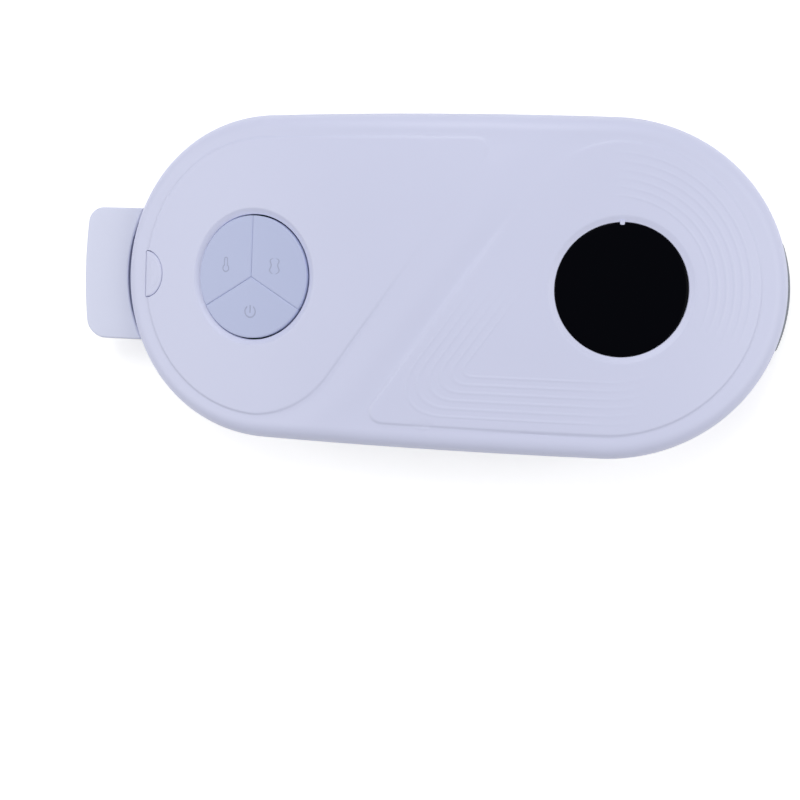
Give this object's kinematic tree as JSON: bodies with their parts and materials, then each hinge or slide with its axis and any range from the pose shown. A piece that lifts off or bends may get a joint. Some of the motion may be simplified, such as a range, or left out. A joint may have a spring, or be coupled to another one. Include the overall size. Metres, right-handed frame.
{
  "type": "heated abdominal massager",
  "caption": "Curved heated abdominal massager housing with round key pad, round display, soft contact pad, folded elastic waist belt and snap-in buckle.",
  "frame": {"origin": "on the floor under the middle of the housing, in the plane of the belt's lower face", "axes": "+X along the housing from the buckle to the belt's fixed end, +Y across it, +Z out of the front face"},
  "size_m": [0.2466, 0.108, 0.0439],
  "materials": {
    "shell_white": "satin lilac-white moulded ABS",
    "key_grey": "fine satin lilac-grey",
    "lens_black": "polished black acrylic",
    "pad_soft": "soft knit over silicone",
    "foam": "open-cell foam",
    "heating_foil": "amber polyimide film",
    "inner_plastic": "natural moulded plastic",
    "dark_plastic": "black moulded plastic",
    "circuit_board": "green solder mask",
    "battery_wrap": "aluminium-laminate pouch",
    "ribbon": "flat flexible cable",
    "steel": "plated steel",
    "brass": "sintered heavy alloy",
    "belt_grey": "woven elastic webbing"
  },
  "bodies": {
    "housing": {"front_shell": "shell_white", "back_shell": "shell_white", "contact_pad": "pad_soft", "insulation_foam": "foam", "heating_film": "heating_foil", "temperature_sensor": "dark_plastic", "key_carrier": "inner_plastic", "heat_switch": "dark_plastic", "massage_switch": "dark_plastic", "power_switch": "dark_plastic", "control_board": "circuit_board", "board_screw_1": "steel", "board_screw_2": "steel", "usb_shell": "steel", "usb_tongue": "dark_plastic", "display_lens": "lens_black", "display_frame": "inner_plastic", "display_board": "circuit_board", "led_module": "dark_plastic", "board_screw_3": "steel", "board_screw_4": "steel", "battery_tray": "inner_plastic", "battery_cell": "battery_wrap", "ribbon_cable": "ribbon", "left_motor_can": "steel", "right_motor_can": "steel", "left_motor_clamp": "inner_plastic", "right_motor_clamp": "inner_plastic", "belt_webbing": "belt_grey", "belt_anchor_plate": "steel", "anchor_screw_1": "steel", "anchor_screw_2": "steel", "latch_leaf": "steel", "buckle_socket": "inner_plastic", "shell_screw_1": "steel", "shell_screw_2": "steel", "shell_screw_3": "steel", "shell_screw_4": "steel", "shell_screw_5": "steel", "shell_screw_6": "steel"},
    "heat_key": {"heat_key": "key_grey", "heat_plunger": "inner_plastic"},
    "massage_key": {"massage_key": "key_grey", "massage_plunger": "inner_plastic"},
    "power_key": {"power_key": "key_grey", "power_plunger": "inner_plastic"},
    "release": {"release_button": "shell_white"},
    "buckle": {"buckle_tongue": "shell_white", "belt_buckle_loop": "belt_grey"},
    "left_rotor": {"left_motor_shaft": "steel", "left_weight": "brass"},
    "right_rotor": {"right_motor_shaft": "steel", "right_weight": "brass"}
  },
  "joints": [
    {"name": "heat_key_press", "type": "slide", "parent": "housing", "child": "heat_key", "axis": [-0.1796, 0, 0.9837], "range_m": [-0.0006, 0], "stiffness_N_per_m": 400, "springref_m": 0.001},
    {"name": "massage_key_press", "type": "slide", "parent": "housing", "child": "massage_key", "axis": [-0.1796, 0, 0.9837], "range_m": [-0.0006, 0], "stiffness_N_per_m": 400, "springref_m": 0.001},
    {"name": "power_key_press", "type": "slide", "parent": "housing", "child": "power_key", "axis": [-0.1796, 0, 0.9837], "range_m": [-0.0006, 0], "stiffness_N_per_m": 400, "springref_m": 0.001},
    {"name": "release_press", "type": "slide", "parent": "housing", "child": "release", "axis": [-0.3062, 0, 0.952], "range_m": [-0.0024, 0], "stiffness_N_per_m": 500, "springref_m": 0.001, "deforming": ["latch_leaf"]},
    {"name": "buckle_pull", "type": "slide", "parent": "housing", "child": "buckle", "axis": [-1, 0, 0], "range_m": [0, 0.024], "deforming": ["latch_leaf"]},
    {"name": "left_rotor_spin", "type": "hinge", "parent": "housing", "child": "left_rotor", "pos_m": [-0.02941, 0, 0.03095], "axis": [0, 1, 0], "continuous": true},
    {"name": "right_rotor_spin", "type": "hinge", "parent": "housing", "child": "right_rotor", "pos_m": [0.02941, 0, 0.03095], "axis": [0, 1, 0], "continuous": true}
  ]
}
